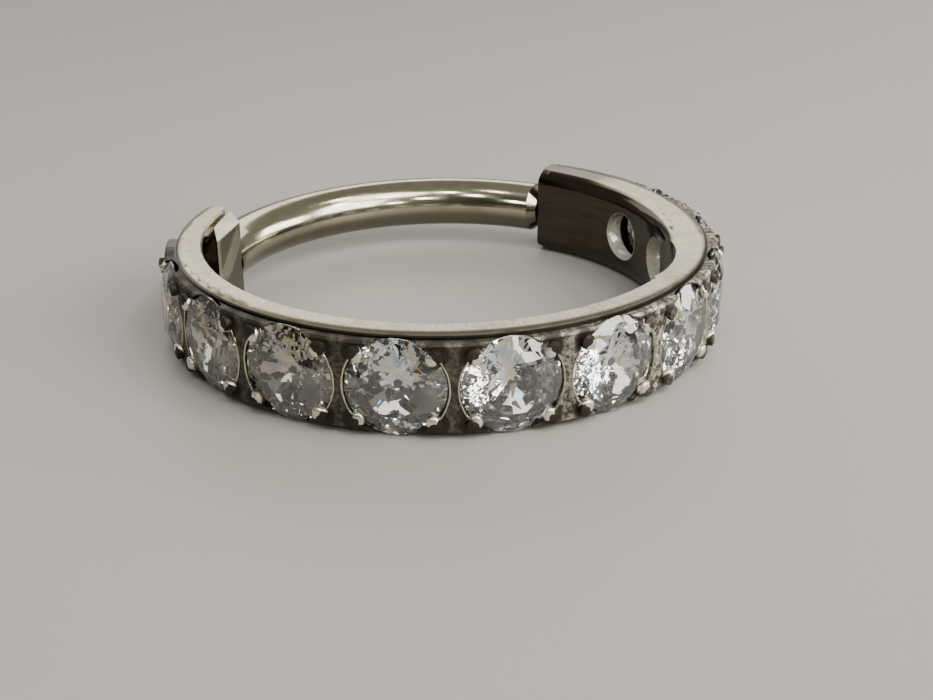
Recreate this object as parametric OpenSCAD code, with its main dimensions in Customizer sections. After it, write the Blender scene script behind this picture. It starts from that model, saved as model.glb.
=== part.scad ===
// Clicker ring: a half-set band of round stones closed by a hinged wearing bar.
// The ring lies on its side, its axis is Z and its lower side face is at Z = 0.
// Azimuths are measured in degrees from the front (-Y) towards the right (+X).

/* [Wearing size] */
// Diameter across the hole, from the bar to the band opposite
wear_d = 10.05; // [9.95:0.05:10.15]
// Diameter of the hinged bar
bar_d = 1.2; // [1.1:0.05:1.3]

/* [Band] */
// Radius of the inner wall of the band
band_inner_r = 5.35; // [5.32:0.01:5.38]
// Radial width of the side face of the band
face_w = 0.57; // [0.55:0.01:0.59]
// Width of the band along the ring's axis
band_w = 2.1; // [2.08:0.02:2.2]
// How far the stone setting stands out past the side face
setting_out = 0.25; // [0.24:0.01:0.28]
// Step from the side face down to the ledge of the setting
ledge_h = 0.1; // [0.08:0.01:0.12]

/* [Ends] */
// Azimuth of the hinge pin
hinge_az = -105.5; // [-108:0.5:-103]
// Azimuth of the end face at the clasp
clasp_az = 151.5; // [150:0.5:153]
// Diameter of the hinge pin
pin_d = 0.34; // [0.3:0.02:0.36]
// Radial thickness of the clasp block
block_w = 0.95; // [0.92:0.01:0.98]

/* [Stones] */
// Diameter of each stone
stone_d = 2.02; // [1.98:0.02:2.06]
// Azimuth of the first stone, the one nearest the hinge
stone_first_az = -71.4; // [-72:0.2:-70.8]
// Angle from one stone to the next
stone_step = 21.2; // [21:0.1:21.4]
// Radius at which the girdles of the stones lie
girdle_r = 6.06; // [6.05:0.01:6.08]

/* [Hidden] */
$fn = 96;

stone_count = 10;
through = 1;
over_deg = 1;
overlap = 0.02;
seat_overlap = 0.002;

mid_z = band_w / 2;
face_r = band_inner_r + face_w;
setting_r = face_r + setting_out;
bar_r = bar_d / 2;
bar_path_r = wear_d - band_inner_r + bar_r;
edge = 0.04;
round_r = 0.38;
round_w = 0.22;

// hinge: a fork in the band's end holds a flat lug of the bar
pin_r = pin_d / 2;
pin_path_r = band_inner_r + face_w / 2;
pin_press = 0.01;
pin_run = 0.02;
pin_skin = 0.24;
pin_end_gap = 0.02;
cheek_end_r = face_w / 2 + overlap;
cheek_deg = 4;
fork_gap = 1.16;
fork_depth_r = 0.48;
lug_play = 0.03;
lug_h = fork_gap - 2 * lug_play;
lug_r = 0.34;
lug_root_r = 5.1;
lug_top_r = 5.8;
lug_web = 0.5;
knuckle_gap = 0.14;
knuckle_h = band_w - 0.08;
nose_r = 5.02;
nose_deg = 22.3;
knuckle_inner_r = 4.73;
knuckle_deg = 6.5;
knuckle_out_r = 5.33;
knuckle_out_deg = [7.8, -2.8];
bar_from = hinge_az - 4.3;

// clasp: the tongue of the bar lies in a slot that is open towards the outside
block_inner_r = face_r - block_w;
block_corner = 0.32;
block_from = 56;
ramp_r = 2.92;
ramp_az = 63.3;
ramp_path_r = 2.45;
barrel_deg = 22;
barrel_az = clasp_az - barrel_deg / 2;
barrel_path_r = 5.61;
barrel_end_r = 1.09;
barrel_far_r = 1.38;
barrel_over = 1.1;
slot_h = 0.5;
slot_deg = 9.5;
slot_inner_r = bar_path_r - 0.1;
tongue_gap = 0.03;
tongue_h = slot_h - 2 * tongue_gap;
tongue_deg = 8.6;
tongue_w = 0.46;
shoulder_deg = 0.5;
shoulder_h = 0.2;
shoulder_r = bar_r - 0.17;

// setting: rails beside the stones, seats, windows behind them and four prongs round each
setting_from = stone_first_az - 16.6;
setting_bevel = 0.05;
stone_r = stone_d / 2;
seat_gap = 0.02;
seat_r = stone_r + seat_gap;
seat_h = 0.05;
crown_gap = 0.03;
window_r = 0.575;
prong_r = 0.15;
prong_dome_r = 0.35;
prong_across = 0.78;
prong_along = 0.72;
prong_root_r = face_r - 0.2;
prong_top_r = girdle_r + 0.2;

// stone: a round brilliant, with its sizes as shares of its radius
table_share = 0.56;
star_share = 0.76;
crown_share = 0.215;
girdle_share = 0.05;
pavilion_share = 0.66;
lower_share = 0.22;
mains = 8;

// Places the children with their X axis pointing outwards at an azimuth.
module at(az) {
    rotate([0, 0, az - 90]) children();
}

// Turns a flat profile round the ring's axis from one azimuth to another.
module sector(from_az, to_az) {
    at(from_az) rotate_extrude(angle = to_az - from_az) children();
}

// Places the children at each stone, half way up the band.
module at_each_stone() {
    for (i = [0 : stone_count - 1]) {
        at(stone_first_az + i * stone_step) translate([0, 0, mid_z]) children();
    }
}

// A rectangle with round corners.
module round_rect(x0, x1, y0, y1, r) {
    translate([x0 + r, y0]) square([x1 - x0 - 2 * r, y1 - y0]);
    translate([x0, y0 + r]) square([x1 - x0, y1 - y0 - 2 * r]);
    for (x = [x0 + r, x1 - r], y = [y0 + r, y1 - r]) {
        translate([x, y]) circle(r);
    }
}

// Section of the plain band: flat side faces with a fine inner and a round outer edge.
module band_section() {
    flat_to = face_r - round_w;
    polygon([
        [band_inner_r, edge], [band_inner_r + edge, 0], [flat_to, 0],
        [flat_to, band_w], [band_inner_r + edge, band_w], [band_inner_r, band_w - edge]
    ]);
    translate([band_inner_r + edge, round_r]) square([face_w - edge, band_w - 2 * round_r]);
    for (y = [round_r, band_w - round_r]) {
        intersection() {
            translate([flat_to, y]) circle(round_r);
            square([face_r, band_w]);
        }
    }
}

// Section of the setting that stands out of the band and carries the stones.
module setting_section() {
    root_r = face_r - edge;
    polygon([
        [root_r, ledge_h], [setting_r - setting_bevel, ledge_h],
        [setting_r, ledge_h + setting_bevel], [setting_r, band_w - ledge_h - setting_bevel],
        [setting_r - setting_bevel, band_w - ledge_h], [root_r, band_w - ledge_h]
    ]);
}

// The thick clasp block, which runs out into the band in a hollow curve.
module clasp_block() {
    difference() {
        sector(block_from, clasp_az)
            round_rect(block_inner_r, face_r - edge, 0, band_w, block_corner);
        at(ramp_az) translate([ramp_path_r, 0, -through])
            cylinder(h = band_w + 2 * through, r = ramp_r);
    }
}

// What is cut off the end of the block, so that it is round like the end of a barrel.
module end_rounding() {
    barrel_h = 2 * barrel_over * barrel_path_r * sin(barrel_deg / 2);
    difference() {
        sector(clasp_az - barrel_deg, clasp_az + over_deg)
            translate([block_inner_r - through, -through])
                square([setting_r - block_inner_r + 2 * through, band_w + 2 * through]);
        at(barrel_az) translate([barrel_path_r, 0, mid_z]) rotate([90, 0, 0])
            cylinder(h = barrel_h, r1 = barrel_end_r, r2 = barrel_far_r, center = true);
    }
}

// The end of the band at the hinge: its section, rounded off about the pin.
module cheek_end() {
    intersection() {
        at(hinge_az) translate([pin_path_r, 0, -through])
            cylinder(h = band_w + 2 * through, r = cheek_end_r);
        sector(hinge_az - cheek_deg, hinge_az + over_deg) band_section();
    }
}

// One prong with a low domed top, standing on the local X axis.
module prong() {
    rotate([0, 90, 0]) rotate_extrude($fn = 32) intersection() {
        translate([0, prong_root_r]) square([prong_r, prong_top_r - prong_root_r]);
        translate([0, prong_top_r - prong_dome_r]) circle(prong_dome_r);
    }
}

// The four prongs round one stone.
module stone_prongs() {
    for (y = [-prong_across, prong_across], z = [-prong_along, prong_along]) {
        translate([0, y, z]) prong();
    }
}

// The opening that is cut through the setting above one seat.
module seat_opening() {
    rotate([0, 90, 0]) translate([0, 0, girdle_r - seat_h]) cylinder(h = through, r = seat_r);
}

// The space of one stone: its crown, its girdle, its seat and the window behind it.
module stone_space() {
    seat_depth = seat_r - window_r;
    rotate([0, 90, 0]) {
        translate([0, 0, girdle_r + crown_gap]) cylinder(
            h = crown_share * stone_r + crown_gap, r1 = seat_r, r2 = table_share * stone_r + 2 * crown_gap
        );
        translate([0, 0, girdle_r - seat_h]) cylinder(h = seat_h + crown_gap + overlap, r = seat_r);
        translate([0, 0, girdle_r - seat_h - seat_depth])
            cylinder(h = seat_depth + seat_overlap, r1 = window_r, r2 = seat_r);
        translate([0, 0, block_inner_r - through])
            cylinder(h = girdle_r - seat_h - block_inner_r + through, r = window_r);
    }
}

// The fork at the hinge end, cut out between the two cheeks.
module fork_space() {
    at(hinge_az) translate([pin_path_r, 0, mid_z - fork_gap / 2]) cylinder(h = fork_gap, r = fork_depth_r);
}

// The hole of the pin, drilled from below and blind in the upper cheek.
module pin_space(r) {
    at(hinge_az) translate([pin_path_r, 0, -through]) cylinder(h = band_w - pin_skin + through, r = r);
}

// The slot of the clasp, open at the end face and towards the outside.
module clasp_slot() {
    sector(clasp_az - slot_deg, clasp_az + over_deg)
        translate([slot_inner_r, mid_z - slot_h / 2]) square([through, slot_h]);
}

module band() {
    color("silver") difference() {
        union() {
            difference() {
                union() {
                    sector(hinge_az, clasp_az) band_section();
                    cheek_end();
                    sector(setting_from, clasp_az) setting_section();
                    clasp_block();
                }
                at_each_stone() seat_opening();
            }
            at_each_stone() stone_prongs();
        }
        at_each_stone() stone_space();
        fork_space();
        pin_space(pin_r + pin_press);
        clasp_slot();
        end_rounding();
    }
}

// Section of the bar's end inside the band: the half of the round bar that clears its wall.
module inner_bar_section() {
    intersection() {
        translate([bar_path_r, mid_z]) circle(bar_r);
        square([band_inner_r - knuckle_gap, band_w]);
    }
}

// The flat lug in the fork, with its webs to the knuckle and to the round bar.
module lug() {
    at(hinge_az) translate([0, 0, mid_z - lug_h / 2]) linear_extrude(lug_h) {
        translate([pin_path_r, 0]) circle(lug_r);
        translate([lug_root_r, -lug_r]) square([pin_path_r - lug_root_r, 2 * lug_r]);
        translate([lug_root_r, -lug_web]) square([lug_top_r - lug_root_r, lug_web]);
    }
}

// A corner of the knuckle, seen from above.
function knuckle_point(r, deg) = [r * cos(deg), r * sin(deg)];

// The knuckle: a block inside the band, as high as the band, that runs out into a nose.
module knuckle() {
    clear_r = band_inner_r - knuckle_gap;
    intersection() {
        at(hinge_az) translate([0, 0, mid_z - knuckle_h / 2]) linear_extrude(knuckle_h) polygon([
            knuckle_point(knuckle_inner_r, knuckle_deg),
            knuckle_point(nose_r, nose_deg),
            knuckle_point(knuckle_out_r, knuckle_out_deg[0]),
            knuckle_point(knuckle_out_r, knuckle_out_deg[1])
        ]);
        cylinder(h = band_w, r = clear_r);
    }
    sector(bar_from - over_deg, hinge_az + knuckle_deg) inner_bar_section();
}

// The round bar with a bevelled shoulder and a flat tongue at the clasp.
module wearing_bar() {
    start = clasp_az + shoulder_deg;
    bevel_deg = shoulder_h / bar_path_r * 180 / PI;
    sector(start + bevel_deg, 360 + bar_from) translate([bar_path_r, mid_z]) circle(bar_r);
    at(start + bevel_deg) translate([bar_path_r, 0, mid_z]) rotate([90, 0, 0])
        cylinder(h = shoulder_h, r1 = bar_r, r2 = shoulder_r);
    sector(clasp_az - tongue_deg, start + over_deg)
        translate([slot_inner_r + tongue_gap, mid_z - tongue_h / 2]) square([tongue_w, tongue_h]);
}

module bar() {
    color("gainsboro") difference() {
        union() {
            wearing_bar();
            knuckle();
            lug();
        }
        pin_space(pin_r + pin_run);
    }
}

module hinge_pin() {
    color("darkgray") at(hinge_az) translate([pin_path_r, 0, pin_end_gap])
        cylinder(h = band_w - pin_skin - 2 * pin_end_gap, r = pin_r);
}

// Corner of a stone at a turn round its axis, at a share of its radius and a height.
function corner(turn, share, height) =
    [stone_r * share * cos(turn), stone_r * share * sin(turn), stone_r * height];

// Height of a kite facet's plane between its upper and lower corner.
function slope(share, from_share, from_h, to_share, to_h) =
    from_h + (to_h - from_h) * (share * cos(180 / mains) - from_share) / (to_share - from_share);

// A round brilliant with its axis on Z and its girdle at Z = 0.
module brilliant() {
    half = 180 / mains;
    rim_h = girdle_share / 2;
    table_h = rim_h + crown_share;
    star_h = slope(star_share, table_share, table_h, 1, rim_h);
    lower_h = slope(lower_share, 0, -rim_h - pavilion_share, 1, -rim_h);
    table = [for (i = [0 : mains - 1]) corner(2 * i * half, table_share, table_h)];
    star = [for (i = [0 : mains - 1]) corner((2 * i + 1) * half, star_share, star_h)];
    upper_rim = [for (i = [0 : 2 * mains - 1]) corner(i * half, 1, rim_h)];
    lower_rim = [for (i = [0 : 2 * mains - 1]) corner(i * half, 1, -rim_h)];
    lower = [for (i = [0 : mains - 1]) corner((2 * i + 1) * half, lower_share, lower_h)];
    culet = [corner(0, 0, -rim_h - pavilion_share)];
    s = mains;
    u = 2 * mains;
    l = 4 * mains;
    p = 6 * mains;
    c = 7 * mains;
    polyhedron(
        points = concat(table, star, upper_rim, lower_rim, lower, culet),
        faces = concat(
            [[for (i = [mains - 1 : -1 : 0]) i]],
            [for (i = [0 : mains - 1]) [i, (i + 1) % mains, s + i]],
            [for (i = [0 : mains - 1]) [i, s + i, u + 2 * i]],
            [for (i = [0 : mains - 1]) [i, u + 2 * i, s + (i + mains - 1) % mains]],
            [for (i = [0 : mains - 1]) [s + i, u + 2 * i + 1, u + 2 * i]],
            [for (i = [0 : mains - 1]) [s + i, u + (2 * i + 2) % u, u + 2 * i + 1]],
            [for (i = [0 : u - 1]) [u + i, u + (i + 1) % u, l + (i + 1) % u, l + i]],
            [for (i = [0 : mains - 1]) [p + i, l + 2 * i, l + 2 * i + 1]],
            [for (i = [0 : mains - 1]) [p + i, l + 2 * i + 1, l + (2 * i + 2) % u]],
            [for (i = [0 : mains - 1]) [c, l + 2 * i, p + i]],
            [for (i = [0 : mains - 1]) [c, p + (i + mains - 1) % mains, l + 2 * i]]
        )
    );
}

// Stone number i, counted from the hinge, set with its table outwards.
module stone(i) {
    color("white") at(stone_first_az + i * stone_step) translate([girdle_r, 0, mid_z])
        rotate([0, 90, 0]) brilliant();
}

band();
bar();
hinge_pin();
stone(0);  // stone_01
stone(1);  // stone_02
stone(2);  // stone_03
stone(3);  // stone_04
stone(4);  // stone_05
stone(5);  // stone_06
stone(6);  // stone_07
stone(7);  // stone_08
stone(8);  // stone_09
stone(9);  // stone_10
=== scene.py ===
import math
import bmesh
import bpy
from mathutils import Matrix, Vector


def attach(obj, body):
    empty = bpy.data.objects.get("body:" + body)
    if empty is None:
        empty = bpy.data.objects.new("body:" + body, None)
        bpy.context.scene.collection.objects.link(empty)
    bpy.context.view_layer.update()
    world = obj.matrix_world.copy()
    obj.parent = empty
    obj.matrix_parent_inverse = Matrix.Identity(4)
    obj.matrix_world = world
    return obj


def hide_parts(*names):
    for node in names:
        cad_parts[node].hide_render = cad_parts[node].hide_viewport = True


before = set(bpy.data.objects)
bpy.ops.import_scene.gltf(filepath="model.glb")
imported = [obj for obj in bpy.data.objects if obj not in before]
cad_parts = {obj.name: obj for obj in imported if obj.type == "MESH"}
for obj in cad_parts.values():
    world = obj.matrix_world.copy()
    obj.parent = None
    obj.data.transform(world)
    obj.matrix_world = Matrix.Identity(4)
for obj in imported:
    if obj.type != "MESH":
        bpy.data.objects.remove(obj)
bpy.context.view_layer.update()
mm = 0.001
scene = bpy.context.scene
print("frame loaded:", len(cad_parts), "nodes")


# node maths written as Python expressions
class Wire:
    # one output of a node; each operator adds a Math node
    def __init__(self, sheet, socket):
        self.sheet, self.socket = sheet, socket

    def maths(self, operation, *values):
        return self.sheet.node("ShaderNodeMath", {"operation": operation}, dict(enumerate(values)))

    def __add__(self, other):
        return self.maths("ADD", self, other)

    def __radd__(self, other):
        return self.maths("ADD", other, self)

    def __sub__(self, other):
        return self.maths("SUBTRACT", self, other)

    def __rsub__(self, other):
        return self.maths("SUBTRACT", other, self)

    def __mul__(self, other):
        return self.maths("MULTIPLY", self, other)

    def __rmul__(self, other):
        return self.maths("MULTIPLY", other, self)

    def __truediv__(self, other):
        return self.maths("DIVIDE", self, other)

    def __rtruediv__(self, other):
        return self.maths("DIVIDE", other, self)

    def __mod__(self, other):
        return self.maths("FLOORED_MODULO", self, other)

    def __pow__(self, other):
        return self.maths("POWER", self, other)

    def __abs__(self):
        return self.maths("ABSOLUTE", self)

    def over(self, other):
        # the larger of two
        return self.maths("MAXIMUM", self, other)

    def under(self, other):
        # the smaller of two
        return self.maths("MINIMUM", self, other)

    def floor(self):
        return self.maths("FLOOR", self)

    def sine(self):
        return self.maths("SINE", self)

    def cosine(self):
        return self.maths("COSINE", self)


class Sheet:
    # a node tree being filled
    def __init__(self, tree):
        self.tree = tree

    def node(self, kind, settings=None, values=None, out=0):
        made = self.tree.nodes.new(kind)
        for name, value in (settings or {}).items():
            setattr(made, name, value)
        for name, value in (values or {}).items():
            self.put(made.inputs[name], value)
        return Wire(self, made.outputs[out])

    def put(self, socket, value):
        if isinstance(value, Wire):
            self.tree.links.new(value.socket, socket)
        else:
            socket.default_value = value

    def step(self, wire, low, high):
        # 0 below low, 1 above high, eased between
        return self.node("ShaderNodeMapRange", {"interpolation_type": "SMOOTHSTEP"},
                         {"Value": wire, "From Min": low, "From Max": high})

    def edge(self, wire, place, soft):
        # 0 before the place and 1 past it, eased over soft on both sides
        return self.step(wire, place - soft, place + soft)

    def tint(self, factor, first, second):
        # mixes two colours
        made = self.tree.nodes.new("ShaderNodeMix")
        made.data_type = "RGBA"
        for place, value in ((0, factor), (6, first), (7, second)):
            self.put(made.inputs[place], value)
        return Wire(self, made.outputs[2])

    def vector(self, operation, first, second, out=0):
        # vector maths; SCALE takes a number as its second value
        second = {"Scale" if operation == "SCALE" else 1: second}
        return self.node("ShaderNodeVectorMath", {"operation": operation}, {0: first, **second}, out)

    def join(self, x, y, z):
        return self.node("ShaderNodeCombineXYZ", None, {0: x, 1: y, 2: z})

    def split(self, vector):
        made = self.tree.nodes.new("ShaderNodeSeparateXYZ")
        self.put(made.inputs[0], vector)
        return [Wire(self, made.outputs[i]) for i in range(3)]

    def noise(self, vector, scale, detail, roughness=0.5):
        return self.node("ShaderNodeTexNoise", None, {
            "Vector": vector, "Scale": scale, "Detail": detail, "Roughness": roughness,
        })

    def bump(self, height, strength, depth):
        # depth in millimetres
        return self.node("ShaderNodeBump", None, {
            "Strength": strength, "Distance": depth * mm, "Height": height,
        })


def newFinish(name, look):
    # a material with its plain numbers set on the shader itself
    finish = bpy.data.materials.new(name)
    finish.use_nodes = True
    sheet = Sheet(finish.node_tree)
    shader = finish.node_tree.nodes["Principled BSDF"]
    for socket, value in look.items():
        shader.inputs[socket].default_value = value
    return finish, sheet, shader


def ringPlace(sheet):
    # where a point lies: its place, radius and height in millimetres, and its azimuth in degrees
    place = sheet.vector("SCALE", sheet.node("ShaderNodeTexCoord", out=3), 1 / mm)
    x, y, z = sheet.split(place)
    radius = (x * x + y * y) ** 0.5
    azimuth = x.maths("ARCTAN2", x, -1 * y) * (180 / math.pi)
    return place, radius, azimuth, z


# the row of stones: azimuths in degrees, and how far a bead stands from the middle of its stone
stoneRow = {"count": 10, "firstStone": -71.4, "pitch": 21.2, "midHeight": 1.05, "across": 0.78, "along": 0.72}

# steel of the band: satin sides, painted shade in the recesses, painted highlights on the cuts between the
# stones
bandSteel = {
    **stoneRow,
    "warm": (0.55, 0.505, 0.375, 1), "stainAndShade": (0.35, 0.32, 0.255, 1), "deepShade": (0.05, 0.045, 0.035, 1),
    "recessShade": (0.095, 0.087, 0.068, 1), "block": (0.038, 0.031, 0.020, 1),
    "cutHighlight": (0.84, 0.80, 0.68, 1), "windowPaintedLight": (0.86, 0.84, 0.74, 1),
    # roughness of each finish, and what the marks and the rim add to it
    "satin": 0.24, "polish": 0.13, "cut": 0.40, "rimRough": 0.14, "cloudRough": 0.16, "strokeRough": 0.14,
    "windowMetal": 0.3,
    # marks: how many to a millimetre, how far they are drawn out, and how deep they are
    "cloudScale": 2.6, "speckScale": 16.0, "castScale": 9.0, "strokeScale": 2.4, "streakScale": 1.6,
    "strokePull": (0.9, 0.55, 2.0), "streakPull": (1.0, 0.04, 5.0),
    "castDepth": 0.8, "speckDepth": 0.03, "strokeDepth": 0.05, "streakDepth": 0.1,
    "relief": 0.6, "reliefDepth": 0.05,
    # how strongly each mark or place takes its colour
    "cloudStain": 0.45, "speckStain": 0.45, "strokeStain": 0.3, "frontShade": 0.35, "frontShadeStroke": 0.5,
    "insideShade": 0.6, "seatShade": 0.5, "rimShade": 0.95, "hingeShade": 0.8, "streakShade": 0.25,
    "windowShade": 0.9, "windowSpeck": 0.4, "hollowShade": 0.3, "beadShade": 0.85, "leftShade": 0.75, "leftHighlight": 0.25,
    # radii and heights where one finish ends and the next begins
    "outsideRadius": 5.95, "rimRadius": 5.87, "roughRadius": 5.85, "seatDeep": 5.37, "windowDeep": 5.36,
    "sideHeight": 2.045, "seatRadius": 1.025, "windowRadius": 0.585, "footIn": 0.17, "footOut": 0.33,
    # azimuths where one finish or painted shade ends and the next begins
    "hingeWall": -82.5, "claspWall": 131.0, "blockFrom": 132.5, "darkWall": 75.0,
    "cutFrom": 0.0, "cutTo": 45.0, "frontShadeFrom": -15.0, "frontShadeTo": 75.0,
}


def bandZones(sheet, s, radius, azimuth, z):
    # where each finish and each painted shade or highlight lies, from 0 to 1
    turn = (azimuth - s["firstStone"] + s["pitch"] / 2) % s["pitch"] - s["pitch"] / 2
    across, rise = turn * (math.pi / 180) * radius, z - s["midHeight"]
    fromAxis = (across * across + rise * rise) ** 0.5
    beadAcross, beadRise = abs(across) - s["across"], abs(rise) - s["along"]
    fromBead = (beadAcross * beadAcross + beadRise * beadRise) ** 0.5
    outside = sheet.edge(radius, s["outsideRadius"], soft=0.02)
    pastHinge = sheet.edge(azimuth, s["hingeWall"], soft=0.5)
    betweenWalls = pastHinge * (1 - sheet.edge(azimuth, s["claspWall"], soft=0.5))
    inside = (1 - sheet.edge(z, s["sideHeight"], soft=0.015)) * (1 - outside)
    seat = (1 - sheet.edge(fromAxis, s["seatRadius"], soft=0.015)) * betweenWalls
    window = (1 - sheet.edge(fromAxis, s["windowRadius"], soft=0.005)) * betweenWalls
    return {
        "outside": outside,
        "setting": outside * betweenWalls,
        "ends": outside * (1 - betweenWalls),
        "hingeEnd": outside * (1 - pastHinge),
        "inside": inside,
        # the inner wall towards the clasp block, which takes painted dark reflection
        "darkWall": inside * sheet.edge(azimuth, s["darkWall"], soft=15),
        "block": sheet.edge(azimuth, s["blockFrom"], soft=4.5) * (1 - outside),
        "rim": sheet.edge(radius, s["rimRadius"], soft=0.02) * (1 - outside),
        "seat": seat * sheet.edge(radius, s["seatDeep"], soft=0.01),
        "window": window * (1 - sheet.edge(radius, s["windowDeep"], soft=0.01)),
        "foot": 1 - sheet.step(fromBead, s["footIn"], s["footOut"]),
        # painted highlight on the cuts: a least share on the left, full from the front round to the right
        "bright": s["leftHighlight"] + (1 - s["leftHighlight"]) * sheet.step(azimuth, s["cutFrom"], s["cutTo"]),
        # painted shade over the front of the band
        "shadedFront": sheet.edge(azimuth, s["frontShadeFrom"], soft=20) * (1 - sheet.edge(azimuth, s["frontShadeTo"], soft=10)),
    }


def drawnOut(sheet, pull, radius, azimuth, z):
    # a place round the ring, for marks that run along it
    return sheet.join(radius * pull[0], azimuth * pull[1], z * pull[2])


def bandMarks(sheet, s, place, radius, azimuth, z):
    # the patterns that the colour, the polish and the relief share
    wiped = drawnOut(sheet, s["strokePull"], radius, azimuth, z)
    drawn = drawnOut(sheet, s["streakPull"], radius, azimuth, z)
    return {
        "cloud": sheet.noise(place, s["cloudScale"], detail=6.0, roughness=0.62),
        "specks": sheet.noise(place, s["speckScale"], detail=3.0, roughness=0.6),
        "cast": sheet.noise(place, s["castScale"], detail=6.0, roughness=0.66),
        "strokes": sheet.noise(wiped, s["strokeScale"], detail=4.0, roughness=0.65),
        "streaks": sheet.noise(drawn, s["streakScale"], detail=3.0),
    }


def bandColour(sheet, s, zone, mark, z):
    # stains on the bare metal, and painted shade over the front, mottled by the wipe strokes
    stainsAndShade = s["cloudStain"] * sheet.step(mark["cloud"], 0.50, 0.70)
    stainsAndShade = stainsAndShade + s["speckStain"] * sheet.step(mark["specks"], 0.60, 0.72)
    stainsAndShade = stainsAndShade + s["strokeStain"] * sheet.step(mark["strokes"], 0.48, 0.70)
    stainsAndShade = stainsAndShade + zone["shadedFront"] * (s["frontShade"] + s["frontShadeStroke"] * mark["strokes"])
    colour = sheet.tint(stainsAndShade.under(1.0), s["warm"], s["stainAndShade"])

    # painted shade on the outside, the inside walls and the seats; painted dark reflection on the clasp block
    # and the inner wall towards it, broken by lighter streaks; painted shade along the rim
    shadedRecess = zone["outside"] + zone["inside"] * s["insideShade"] + zone["seat"] * s["seatShade"]
    colour = sheet.tint(shadedRecess.under(1.0), colour, s["recessShade"])
    streakedShade = 1 - s["streakShade"] + s["streakShade"] * mark["streaks"]
    colour = sheet.tint(zone["block"].over(zone["darkWall"]) * streakedShade, colour, s["block"])
    colour = sheet.tint(zone["rim"] * s["rimShade"], colour, s["deepShade"])

    # painted light on the window walls, with painted shade towards the top
    shaded = s["windowShade"] * sheet.step(z, s["midHeight"] - 0.1, s["midHeight"] + 0.5)
    shaded = shaded + s["windowSpeck"] * sheet.step(mark["specks"], 0.4, 0.7)
    windowPaintedColour = sheet.tint(shaded.under(1.0), s["windowPaintedLight"], s["stainAndShade"])
    colour = sheet.tint(zone["window"], colour, windowPaintedColour)

    # painted highlights on the cuts in the setting, stronger to the right; painted shade in the hollows of
    # the cast relief, round the beads' feet, to the left, and on the hinge end
    cutHighlights = zone["setting"] * zone["bright"] * sheet.step(mark["cast"], 0.40, 0.64)
    colour = sheet.tint(cutHighlights, colour, s["cutHighlight"])
    settingShade = s["hollowShade"] * sheet.step(0.48 - mark["cast"], 0.0, 0.14) + s["beadShade"] * zone["foot"]
    settingShade = (settingShade + s["leftShade"] * (1 - zone["bright"])).under(1.0) * zone["setting"]
    return sheet.tint(settingShade + s["hingeShade"] * zone["hingeEnd"], colour, s["deepShade"])


def makeBandSteel(s):
    finish, sheet, shader = newFinish("bandSteel", {})
    place, radius, azimuth, z = ringPlace(sheet)
    zone = bandZones(sheet, s, radius, azimuth, z)
    mark = bandMarks(sheet, s, place, radius, azimuth, z)
    sheet.put(shader.inputs["Base Color"], bandColour(sheet, s, zone, mark, z))
    sheet.put(shader.inputs["Metallic"], 1 - (1 - s["windowMetal"]) * zone["window"])

    # polish
    polished = (zone["block"] + zone["ends"] + zone["inside"]).under(1.0)
    plain = s["satin"] + s["cloudRough"] * (mark["cloud"] - 0.5) + s["strokeRough"] * (mark["strokes"] - 0.5)
    rough = plain + polished * (s["polish"] - plain) + zone["setting"] * (s["cut"] - s["satin"])
    rough = rough + s["rimRough"] * sheet.edge(radius, s["roughRadius"], soft=0.02)
    sheet.put(shader.inputs["Roughness"], rough)

    # relief
    wiped = mark["specks"] * s["speckDepth"] + mark["strokes"] * s["strokeDepth"]
    height = mark["cast"] * zone["setting"] * s["castDepth"] + (1 - zone["setting"]) * (1 - polished) * wiped
    height = height + polished * mark["streaks"] * s["streakDepth"]
    sheet.put(shader.inputs["Normal"], sheet.bump(height, s["relief"], s["reliefDepth"]))
    return finish


# steel of the beads, with painted shade towards their feet and darker dimples
beadSteel = {
    "bright": (0.92, 0.88, 0.76, 1), "wornAndShaded": (0.26, 0.24, 0.20, 1), "footRadius": 6.10, "tipRadius": 6.24,
    "polish": 0.20, "footRough": 0.1, "dimpleRough": 0.18, "footShade": 0.7, "dimpleWorn": 0.3,
    "dimpleScale": 11.0, "dimpleDepth": 0.03,
}


def makeBeadSteel(s):
    finish, sheet, shader = newFinish("beadSteel", {"Metallic": 1.0})
    place, radius, azimuth, z = ringPlace(sheet)
    dimples = sheet.noise(place, s["dimpleScale"], detail=3.0)
    # painted shade at the feet, where the beads meet the band
    low = 1 - sheet.step(radius, s["footRadius"], s["tipRadius"])
    wornAndShaded = (s["footShade"] * low + s["dimpleWorn"] * dimples).under(1.0)
    sheet.put(shader.inputs["Base Color"], sheet.tint(wornAndShaded, s["bright"], s["wornAndShaded"]))
    sheet.put(shader.inputs["Roughness"], s["polish"] + s["dimpleRough"] * dimples + s["footRough"] * low)
    sheet.put(shader.inputs["Normal"], sheet.bump(dimples, strength=0.35, depth=s["dimpleDepth"]))
    return finish


# steel of the bar; painted shade on the knuckle's wall, in soft bands that stand for its curved faces, and on
# the underside of the bar's inner half
barSteel = {
    "bright": (0.58, 0.545, 0.415, 1), "rubbed": (0.47, 0.44, 0.33, 1), "shade": (0.095, 0.085, 0.06, 1),
    "polish": 0.12, "rubbedRough": 0.07, "lineRough": 0.05, "cloudScale": 1.6, "lineScale": 3.0,
    "linePull": (6.0, 0.03, 6.0), "lineDepth": 0.01,
    # where the painted shade lies on the knuckle's wall, in azimuth and height, and its nose, painted lighter
    "kneeFrom": -101.0, "kneeTo": -55.0, "kneeTop": 2.03,
    "noseFrom": -86.0, "noseTo": -83.5, "noseLight": 0.8,
    # how fast the bands of painted shade follow each other, up the wall and along it, and how strong they are
    "bandRise": 5.0, "bandRun": 0.30, "bandShade": 0.58,
    # the painted shade on the underside of the bar's inner half
    "innerRadius": 5.45, "underTop": 1.0, "underShade": 0.85, "mostShade": 0.95,
}


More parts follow.
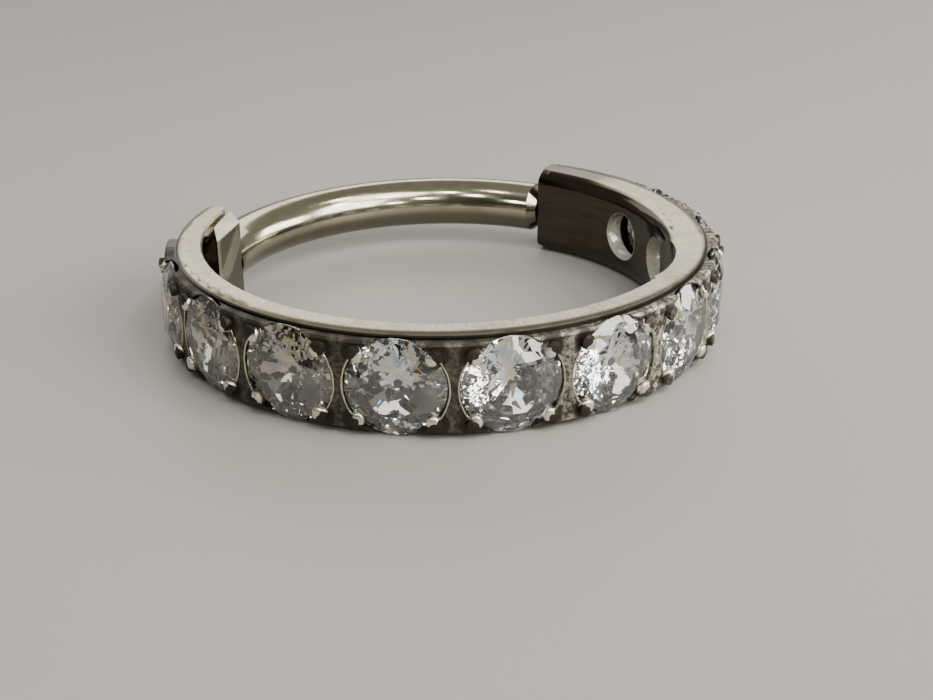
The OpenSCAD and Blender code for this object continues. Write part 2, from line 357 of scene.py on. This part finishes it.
def makeBarSteel(s):
    finish, sheet, shader = newFinish("barSteel", {"Metallic": 1.0})
    place, radius, azimuth, z = ringPlace(sheet)
    cloud = sheet.noise(place, s["cloudScale"], detail=4.0)
    drawn = drawnOut(sheet, s["linePull"], radius, azimuth, z)
    lines = sheet.noise(drawn, s["lineScale"], detail=5.0, roughness=0.7)
    # painted shade on the knuckle's wall, in soft bands, lighter at its nose, and on the underside of the
    # bar's inner half
    kneeShade = sheet.edge(azimuth, s["kneeFrom"], soft=4) * (1 - sheet.edge(azimuth, s["kneeTo"], soft=5))
    kneeShade = kneeShade * (1 - sheet.edge(z, s["kneeTop"], soft=0.01))
    kneeShade = kneeShade * (1 - s["noseLight"] * sheet.step(azimuth, s["noseFrom"], s["noseTo"]))
    shadeBands = sheet.step((z * s["bandRise"] + azimuth * s["bandRun"]).sine() + 0.5 * cloud, -0.2, 0.5)
    under = 1 - sheet.edge(z, s["underTop"], soft=0.15)
    under = under * (1 - sheet.edge(radius, s["innerRadius"], soft=0.15))
    kneeShade = kneeShade * (1 - s["bandShade"] + s["bandShade"] * shadeBands)
    shaded = (kneeShade + s["underShade"] * under).under(s["mostShade"])
    steel = sheet.tint(sheet.step(cloud, 0.4, 0.7), s["bright"], s["rubbed"])
    sheet.put(shader.inputs["Base Color"], sheet.tint(shaded, steel, s["shade"]))
    rough = s["polish"] + s["rubbedRough"] * sheet.step(cloud, 0.45, 0.75) + s["lineRough"] * lines
    sheet.put(shader.inputs["Roughness"], rough)
    sheet.put(shader.inputs["Normal"], sheet.bump(lines, strength=0.12, depth=s["lineDepth"]))
    return finish


# steel of the pin, turned
pinSteel = {
    "turned": (0.58, 0.57, 0.55, 1), "groove": (0.42, 0.41, 0.39, 1), "rough": 0.28, "grooveRough": 0.15,
    "grooves": 30.0, "grooveDepth": 0.01,
}


def makePinSteel(s):
    finish, sheet, shader = newFinish("pinSteel", {"Metallic": 1.0})
    place, radius, azimuth, z = ringPlace(sheet)
    turning = sheet.node("ShaderNodeTexNoise", {"noise_dimensions": "1D"},
                         {"W": z * s["grooves"], "Scale": 1.0, "Detail": 3.0})
    sheet.put(shader.inputs["Base Color"], sheet.tint(turning, s["turned"], s["groove"]))
    sheet.put(shader.inputs["Roughness"], s["rough"] + s["grooveRough"] * turning)
    sheet.put(shader.inputs["Normal"], sheet.bump(turning, strength=0.3, depth=s["grooveDepth"]))
    return finish


# stones: clear, with painted shade towards the hinge, and painted flecks of yellow and blue fire
clearStone = {
    "clear": (0.985, 0.99, 1.0, 1), "cool": (0.86, 0.92, 1.0, 1), "stoneShade": (0.54, 0.51, 0.44, 1),
    "yellow": (1.0, 0.74, 0.10, 1), "blue": (0.18, 0.66, 1.0, 1), "ior": 2.25, "polish": 0.0,
    "stoneShadeTo": -12.0, "fleckSize": 10.0, "fleckShare": 0.97, "flatSize": 3.3, "flatTilt": 0.17,
}


def makeClearStone(s):
    finish, sheet, shader = newFinish("clearStone", {
        "Transmission Weight": 1.0, "IOR": s["ior"], "Roughness": s["polish"],
    })
    place, radius, azimuth, z = ringPlace(sheet)
    flecks = sheet.node("ShaderNodeTexVoronoi", None, {"Vector": place, "Scale": s["fleckSize"]}, out=1)
    red, green, blue = sheet.split(flecks)
    colour = sheet.tint(sheet.step(blue, 0.5, 0.9), s["clear"], s["cool"])
    # painted shade on the stones towards the hinge
    colour = sheet.tint(1 - sheet.edge(azimuth, s["stoneShadeTo"], soft=14), colour, s["stoneShade"])
    # painted flecks of yellow and blue fire
    colour = sheet.tint(sheet.edge(red, s["fleckShare"], soft=0.005), colour, s["yellow"])
    colour = sheet.tint(sheet.edge(green, s["fleckShare"], soft=0.005), colour, s["blue"])
    sheet.put(shader.inputs["Base Color"], colour)

    # small flats that break the light up, each with its own tilt
    flats = {"Vector": place, "Scale": s["flatSize"]}
    tilt = sheet.node("ShaderNodeTexVoronoi", None, flats, out=1)
    middle = sheet.node("ShaderNodeTexVoronoi", None, flats, out=2)
    tilt = sheet.vector("SUBTRACT", tilt, (0.5, 0.5, 0.5))
    height = sheet.vector("DOT_PRODUCT", tilt, sheet.vector("SUBTRACT", place, middle), out=1)
    sheet.put(shader.inputs["Normal"], sheet.bump(height, strength=s["flatTilt"], depth=1.0))
    return finish


# the cut-off tips: painted dark like the shade behind them, painted light in the stones seen only from inside
# the ring
stoneTip = {
    "dark": (0.02, 0.022, 0.035, 1), "cloudy": (0.10, 0.10, 0.12, 1), "lit": (0.80, 0.82, 0.80, 1),
    "rough": 0.3, "cloudScale": 9.0, "litFrom": 87.0,
}


def makeStoneTip(s):
    finish, sheet, shader = newFinish("stoneTip", {"Roughness": s["rough"]})
    place, radius, azimuth, z = ringPlace(sheet)
    tip = sheet.tint(sheet.noise(place, s["cloudScale"], detail=3.0), s["dark"], s["cloudy"])
    lit = sheet.edge(azimuth, s["litFrom"], soft=2)
    sheet.put(shader.inputs["Base Color"], sheet.tint(lit, tip, s["lit"]))
    return finish


bandFinish = makeBandSteel(bandSteel)
beadFinish = makeBeadSteel(beadSteel)
barFinish = makeBarSteel(barSteel)
pinFinish = makePinSteel(pinSteel)
stoneFinish = makeClearStone(clearStone)
tipFinish = makeStoneTip(stoneTip)
print("finishes made")

for name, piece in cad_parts.items():
    finish = {"band": bandFinish, "bar": barFinish, "hinge_pin": pinFinish}.get(name, stoneFinish)
    for slot in piece.material_slots:
        slot.material = finish
print("finishes on the CAD nodes")

# the stones' cut; spin is how much further each is turned in its seat than the last
stoneCut = {
    **stoneRow, "radius": 1.01, "girdlePath": 6.06, "spin": 17, "round": 96, "mains": 8,
    # shares of the radius, from the table down to the cut-off tip
    "table": 0.56, "star": 0.76, "crown": 0.215, "girdle": 0.05, "lower": 0.20, "pavilion": 0.74,
    "culet": 0.675,
}


def facetPlanes(s):
    # corners of one eighth of the stone, in shares of its radius, turned to give every facet's plane
    half, rim = math.pi / s["mains"], s["girdle"] / 2
    topHeight, tipHeight = rim + s["crown"], -rim - s["pavilion"]

    def corner(turn, share, height):
        return Vector((share * math.cos(turn), share * math.sin(turn), height))

    def slope(share, shareA, heightA, shareB, heightB):
        return heightA + (heightB - heightA) * (share * math.cos(half) - shareA) / (shareB - shareA)

    starHeight = slope(s["star"], s["table"], topHeight, 1, rim)
    lowerHeight = slope(s["lower"], 0, tipHeight, 1, -rim)
    planes = [(Vector((0, 0, topHeight)), Vector((0, 0, 1)))]
    for i in range(s["mains"]):
        a = 2 * i * half
        table, nextTable = corner(a, s["table"], topHeight), corner(a + 2 * half, s["table"], topHeight)
        star, lowPoint = corner(a + half, s["star"], starHeight), corner(a + half, s["lower"], lowerHeight)
        tip = Vector((0, 0, tipHeight))
        for trio in (
            (table, star, corner(a - half, s["star"], starHeight)),
            (table, nextTable, star),
            (star, corner(a, 1, rim), corner(a + half, 1, rim)),
            (star, corner(a + half, 1, rim), corner(a + 2 * half, 1, rim)),
            (tip, lowPoint, corner(a, 1, -rim)),
            (lowPoint, corner(a, 1, -rim), corner(a + half, 1, -rim)),
            (lowPoint, corner(a + half, 1, -rim), corner(a + 2 * half, 1, -rim)),
        ):
            normal = (trio[1] - trio[0]).cross(trio[2] - trio[0]).normalized()
            if normal.dot(trio[0] + trio[1] + trio[2]) < 0:
                normal.negate()
            planes.append((trio[0], normal))
    planes.append((Vector((0, 0, -rim - s["culet"])), Vector((0, 0, -1))))
    return planes


def cutStone(s):
    # a round blank, ground down to each facet in turn
    blank = bmesh.new()
    bmesh.ops.create_cone(blank, cap_ends=True, segments=s["round"], radius1=1, radius2=1, depth=2)
    for point, normal in facetPlanes(s):
        whole = blank.verts[:] + blank.edges[:] + blank.faces[:]
        cut = bmesh.ops.bisect_plane(
            blank, geom=whole, dist=1e-6, plane_co=point, plane_no=normal, clear_outer=True,
        )
        edges = [e for e in cut["geom_cut"] if isinstance(e, bmesh.types.BMEdge)]
        if edges:
            bmesh.ops.contextual_create(blank, geom=edges)
    bmesh.ops.remove_doubles(blank, verts=blank.verts, dist=1e-5)
    bmesh.ops.recalc_face_normals(blank, faces=blank.faces)
    bmesh.ops.triangulate(blank, faces=[f for f in blank.faces if len(f.verts) > 4])
    return blank


def setStones(s, finish, tipFinish):
    blank = cutStone(s)
    for face in blank.faces:
        face.material_index = int(face.normal.z < -0.99)  # the cut-off tip looks straight down
    for i in range(s["count"]):
        turn = math.radians(s["firstStone"] + i * s["pitch"])
        outward = Vector((math.sin(turn), -math.cos(turn), 0))
        onward = Vector((math.cos(turn), math.sin(turn), 0))
        seat = Matrix((Vector((0, 0, -1)), onward, outward)).transposed().to_4x4()
        seat.translation = (outward * s["girdlePath"] + Vector((0, 0, s["midHeight"]))) * mm
        own = blank.copy()
        spin = Matrix.Rotation(math.radians(i * s["spin"]), 4, "Z")
        bmesh.ops.transform(own, matrix=seat @ spin @ Matrix.Scale(s["radius"] * mm, 4), verts=own.verts)
        name = "cut_stone_%02d" % (i + 1)
        mesh = bpy.data.meshes.new(name)
        own.to_mesh(mesh)
        own.free()
        mesh.materials.append(finish)
        mesh.materials.append(tipFinish)
        stone = bpy.data.objects.new(name, mesh)
        scene.collection.objects.link(stone)
        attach(stone, "band")
        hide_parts("stone_%02d" % (i + 1))
    blank.free()
    print("stones set:", s["count"])


setStones(stoneCut, stoneFinish, tipFinish)


# what the setter's tools left on the band
def startTree(name, wants):
    # a geometry tree with one named input for each size
    tree = bpy.data.node_groups.new(name, "GeometryNodeTree")
    tree.interface.new_socket("Geometry", in_out="INPUT", socket_type="NodeSocketGeometry")
    tree.interface.new_socket("Geometry", in_out="OUTPUT", socket_type="NodeSocketGeometry")
    for label, value in wants.items():
        kind = {int: "NodeSocketInt", float: "NodeSocketFloat"}.get(type(value), "NodeSocketMaterial")
        tree.interface.new_socket(label, in_out="INPUT", socket_type=kind)
    sheet = Sheet(tree)
    entry = tree.nodes.new("NodeGroupInput")
    return sheet, {socket.name: Wire(sheet, socket) for socket in entry.outputs if socket.name}


def inMetres(sheet, piece, steel):
    # from millimetres to metres, smooth and in its steel
    piece = sheet.node("GeometryNodeTransform", None, {"Geometry": piece, "Scale": (mm, mm, mm)})
    piece = sheet.node("GeometryNodeSetShadeSmooth", None, {0: piece})
    return sheet.node("GeometryNodeSetMaterial", None, {"Geometry": piece, "Material": steel})


def grow(sheet, geometry, wants, name, body):
    # runs the tree on an empty mesh and keeps the result as a plain piece
    leave = sheet.tree.nodes.new("NodeGroupOutput")
    sheet.put(leave.inputs[0], geometry)
    holder = bpy.data.objects.new(name + "Holder", bpy.data.meshes.new(name + "Holder"))
    scene.collection.objects.link(holder)
    modifier = holder.modifiers.new(name, "NODES")
    modifier.node_group = sheet.tree
    for item in sheet.tree.interface.items_tree:
        if item.in_out == "INPUT" and item.name in wants:
            modifier[item.identifier] = wants[item.name]
    ready = holder.evaluated_get(bpy.context.evaluated_depsgraph_get())
    mesh = bpy.data.meshes.new_from_object(ready)
    mesh.name = name
    holder.modifiers.clear()
    bpy.data.objects.remove(holder)
    piece = bpy.data.objects.new(name, mesh)
    scene.collection.objects.link(piece)
    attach(piece, body)
    print(name, "made:", len(mesh.polygons), "faces")
    return piece


def stoneTurn(entry, stone):
    # azimuth of a stone, in radians
    return (entry["First Stone"] + stone * entry["Pitch"]) * (math.pi / 180)


# inputs that place a tree's pieces at the stones
rowInputs = {
    "Stones": stoneRow["count"], "First Stone": stoneRow["firstStone"],
    "Pitch": stoneRow["pitch"], "Mid Height": stoneRow["midHeight"],
}

# dented beads, four to a stone, that lean in over its edge
cornerBeads = {
    **rowInputs, "Across": stoneRow["across"], "Along": stoneRow["along"],
    "Foot": 5.98, "Bead Radius": 0.165, "Half Height": 0.278, "Segments": 20, "Rings": 14,
    "Lean": 0.045, "Dent": 0.05, "Dent Scale": 5.5, "Seed": 4.0,
}


def makeCornerBeads(s, finish):
    wants = dict(s, Steel=finish)
    sheet, entry = startTree("cornerBeads", wants)
    perStone = 4
    index = sheet.node("GeometryNodeInputIndex")
    side = (index % 2) * 2 - 1
    rise = ((index % perStone) / 2).floor() * 2 - 1
    turn = stoneTurn(entry, (index / perStone).floor())
    sine, cosine = turn.sine(), turn.cosine()
    across, foot = entry["Across"] * side, entry["Foot"]
    height = entry["Mid Height"] + entry["Along"] * rise
    spot = sheet.join(sine * foot + cosine * across, sine * across - cosine * foot, height)
    points = sheet.node("GeometryNodePoints", None, {"Count": entry["Stones"] * perStone, "Position": spot})
    inward = sheet.join(-1 * cosine * side, -1 * sine * side, -1 * rise)
    points = sheet.node("GeometryNodeStoreNamedAttribute", {"data_type": "FLOAT_VECTOR"},
                        {"Geometry": points, "Name": "inward", "Value": inward})

    # one bead, standing on end like a stubby pillar
    ball = sheet.node("GeometryNodeMeshUVSphere", None, {
        "Segments": entry["Segments"], "Rings": entry["Rings"], "Radius": 1.0,
    })
    x, y, z = sheet.split(sheet.node("GeometryNodeInputPosition"))
    spread = ((x * x + y * y) ** 0.5).over(0.0001)  # never nought, so that it can divide
    full = ((1 - z ** 4).over(0.0)) ** 0.25 / spread * entry["Bead Radius"]
    pillar = sheet.join(x * full, y * full, z * entry["Half Height"])
    ball = sheet.node("GeometryNodeSetPosition", None, {"Geometry": ball, "Position": pillar})
    stand = sheet.join(0, math.pi / 2, turn - math.pi / 2)
    beads = sheet.node("GeometryNodeInstanceOnPoints", None, {
        "Points": points, "Instance": ball, "Rotation": stand,
    })
    beads = sheet.node("GeometryNodeRealizeInstances", None, {"Geometry": beads})

    # the lean towards the stone grows with height, and the dents differ from bead to bead
    place = sheet.node("GeometryNodeInputPosition")
    placeX, placeY = sheet.split(place)[:2]
    reach = ((placeX * placeX + placeY * placeY) ** 0.5 - foot).over(0.0) / entry["Half Height"]
    pull = sheet.node("GeometryNodeInputNamedAttribute", {"data_type": "FLOAT_VECTOR"}, {"Name": "inward"})
    lean = sheet.vector("SCALE", pull, reach * reach * entry["Lean"])
    dents = sheet.node("ShaderNodeTexNoise", {"noise_dimensions": "4D"}, {
        "Vector": place, "W": entry["Seed"], "Scale": entry["Dent Scale"], "Detail": 2.0,
    }, out=1)
    dents = sheet.vector("SCALE", sheet.vector("SUBTRACT", dents, (0.5, 0.5, 0.5)), entry["Dent"])
    shift = sheet.vector("ADD", lean, dents)
    beads = sheet.node("GeometryNodeSetPosition", None, {"Geometry": beads, "Offset": shift})
    return grow(sheet, inMetres(sheet, beads, entry["Steel"]), wants, "corner_beads", "band")


makeCornerBeads(cornerBeads, beadFinish)

# the bright rim of a seat: two arcs of thin wire, one on each side of the stone
seatRims = {
    **rowInputs, "Rim Radius": 1.055, "Outer Radius": 6.172, "Wire": 0.022, "Half Arc": 50.0,
    "Steps": 28, "Sides": 8,
}


def makeSeatRims(s, finish):
    wants = dict(s, Steel=finish)
    sheet, entry = startTree("seatRims", wants)
    perStone = 2
    line = sheet.node("GeometryNodeCurvePrimitiveLine", None, {"Start": (0, 0, 0), "End": (1, 0, 0)})
    line = sheet.node("GeometryNodeResampleCurve", None, {"Curve": line, "Count": entry["Steps"]})
    points = sheet.node("GeometryNodePoints", None, {"Count": entry["Stones"] * perStone})
    index = sheet.node("GeometryNodeInputIndex")
    points = sheet.node("GeometryNodeStoreNamedAttribute", {"data_type": "FLOAT"},
                        {"Geometry": points, "Name": "arcNumber", "Value": index})
    arcs = sheet.node("GeometryNodeInstanceOnPoints", None, {"Points": points, "Instance": line})
    arcs = sheet.node("GeometryNodeRealizeInstances", None, {"Geometry": arcs})

    # each line is bent round its stone, on the curve of the band's outside
    number = sheet.node("GeometryNodeInputNamedAttribute", {"data_type": "FLOAT"}, {"Name": "arcNumber"})
    side = (number % perStone) * 2 - 1
    turn = stoneTurn(entry, (number / perStone).floor())
    sine, cosine = turn.sine(), turn.cosine()
    along = sheet.split(sheet.node("GeometryNodeInputPosition"))[0]
    bend = (along * 2 - 1) * entry["Half Arc"] * (math.pi / 180)
    across = bend.cosine() * side * entry["Rim Radius"]
    outward = (entry["Outer Radius"] * entry["Outer Radius"] - across * across) ** 0.5
    height = entry["Mid Height"] + bend.sine() * entry["Rim Radius"]
    spot = sheet.join(sine * outward + cosine * across, sine * across - cosine * outward, height)
    arcs = sheet.node("GeometryNodeSetPosition", None, {"Geometry": arcs, "Position": spot})
    wire = sheet.node("GeometryNodeCurvePrimitiveCircle", None, {
        "Resolution": entry["Sides"], "Radius": entry["Wire"],
    })
    rims = sheet.node("GeometryNodeCurveToMesh", None, {
        "Curve": arcs, "Profile Curve": wire, "Fill Caps": True,
    })
    return grow(sheet, inMetres(sheet, rims, entry["Steel"]), wants, "seat_rims", "band")


makeSeatRims(seatRims, barFinish)

# floor, a hair below the ring
floorLook = {
    "pale": (0.41, 0.40, 0.38, 1), "shade": (0.37, 0.36, 0.34, 1), "rough": 0.45, "gloss": 0.4,
    "cloudScale": 40.0, "half": 600, "below": 0.002,
}


def makeFloor(s):
    look = {"Roughness": s["rough"], "Specular IOR Level": s["gloss"]}
    finish, sheet, shader = newFinish("paleFloor", look)
    cloud = sheet.noise(sheet.node("ShaderNodeTexCoord", out=3), s["cloudScale"], detail=3.0)
    sheet.put(shader.inputs["Base Color"], sheet.tint(cloud, s["pale"], s["shade"]))
    half, low = s["half"] * mm, -s["below"] * mm
    corners = [(-half, -half, low), (half, -half, low), (half, half, low), (-half, half, low)]
    mesh = bpy.data.meshes.new("paleFloor")
    mesh.from_pydata(corners, [], [(0, 1, 2, 3)])
    mesh.materials.append(finish)
    floor = bpy.data.objects.new("paleFloor", mesh)
    scene.collection.objects.link(floor)


makeFloor(floorLook)

# studio light: boxes by azimuth and height in degrees, sizes in millimetres
softBoxes = {
    "backBox": {"azimuth": -168, "height": 28, "away": 120, "wide": 190, "tall": 46, "watts": 0.054},
    "keyBox": {"azimuth": 60, "height": 29, "away": 95, "wide": 62, "tall": 44, "watts": 0.065},
    "rightBox": {"azimuth": 105, "height": 18, "away": 90, "wide": 56, "tall": 28, "watts": 0.040},
    "topBox": {"azimuth": 48, "height": 58, "away": 110, "wide": 70, "tall": 36, "watts": 0.050},
    "frontSpark": {"azimuth": -22, "height": 48, "away": 120, "wide": 8, "tall": 8, "watts": 0.014},
    "highSpark": {"azimuth": -60, "height": 70, "away": 120, "wide": 6, "tall": 6, "watts": 0.008},
    "lowSpark": {"azimuth": 12, "height": 34, "away": 120, "wide": 8, "tall": 8, "watts": 0.014},
    "sideSpark": {"azimuth": 95, "height": 60, "away": 120, "wide": 7, "tall": 7, "watts": 0.010},
    "nearSpark": {"azimuth": 30, "height": 20, "away": 120, "wide": 7, "tall": 7, "watts": 0.012},
    "midSpark": {"azimuth": 40, "height": 52, "away": 120, "wide": 7, "tall": 7, "watts": 0.012},
    "rightSpark": {"azimuth": 72, "height": 42, "away": 120, "wide": 7, "tall": 7, "watts": 0.012},
    "leftSpark": {"azimuth": -44, "height": 30, "away": 120, "wide": 6, "tall": 6, "watts": 0.010},
    "crossSpark": {"azimuth": -5, "height": 62, "away": 120, "wide": 7, "tall": 7, "watts": 0.012},
}


def makeSoftBoxes(boxes):
    warmWhite = (1.0, 0.96, 0.90)
    for name, s in boxes.items():
        lamp = bpy.data.lights.new(name, "AREA")
        lamp.shape, lamp.size, lamp.size_y = "RECTANGLE", s["wide"] * mm, s["tall"] * mm
        lamp.energy, lamp.color = s["watts"], warmWhite
        box = bpy.data.objects.new(name, lamp)
        turn, rise = math.radians(s["azimuth"]), math.radians(s["height"])
        way = Vector((math.sin(turn) * math.cos(rise), -math.cos(turn) * math.cos(rise), math.sin(rise)))
        box.location = way * s["away"] * mm
        box.rotation_euler = (-way).to_track_quat("-Z", "Y").to_euler()
        scene.collection.objects.link(box)


makeSoftBoxes(softBoxes)

# light of the room: dim at the front left, brighter at the front right, brightest behind
roomLight = {
    "left": (0.07, 0.065, 0.056, 1), "right": (0.40, 0.38, 0.335, 1), "back": (0.60, 0.575, 0.50, 1),
    "strength": 0.45, "sideSoft": 0.6, "backFrom": -0.55, "backTo": -0.2,
}


def makeRoom(s):
    room = bpy.data.worlds.new("studio")
    scene.world = room
    room.use_nodes = True
    sheet = Sheet(room.node_tree)
    x, y, z = sheet.split(sheet.node("ShaderNodeTexCoord", out=0))
    front = sheet.tint(sheet.edge(x, 0, s["sideSoft"]), s["left"], s["right"])
    colour = sheet.tint(sheet.step(y, s["backFrom"], s["backTo"]), front, s["back"])
    back = room.node_tree.nodes["Background"]
    sheet.put(back.inputs["Color"], colour)
    back.inputs["Strength"].default_value = s["strength"]


makeRoom(roomLight)
print("floor and light made")

# camera: aim and distance in millimetres, height and roll in degrees
viewFinder = {
    "aim": (0.536, -1.103, -0.371), "away": 33.14, "height": 24.06, "roll": -0.297,
    "lens": 56.7, "sensor": 36, "near": 1, "far": 5000,
}


def makeCamera(s):
    rise, roll = math.radians(s["height"]), math.radians(s["roll"])
    back = Vector((0, -math.cos(rise), math.sin(rise)))
    right, up = Vector((1, 0, 0)), Vector((0, math.sin(rise), math.cos(rise)))
    across = math.cos(roll) * right + math.sin(roll) * up
    upright = -math.sin(roll) * right + math.cos(roll) * up
    stand = Matrix((across, upright, back)).transposed().to_4x4()
    stand.translation = (Vector(s["aim"]) + back * s["away"]) * mm
    lens = bpy.data.cameras.new("photoView")
    lens.lens, lens.sensor_width = s["lens"], s["sensor"]
    lens.clip_start, lens.clip_end = s["near"] * mm, s["far"] * mm
    camera = bpy.data.objects.new("photoView", lens)
    camera.matrix_world = stand
    scene.collection.objects.link(camera)
    scene.camera = camera


makeCamera(viewFinder)
print("camera made")
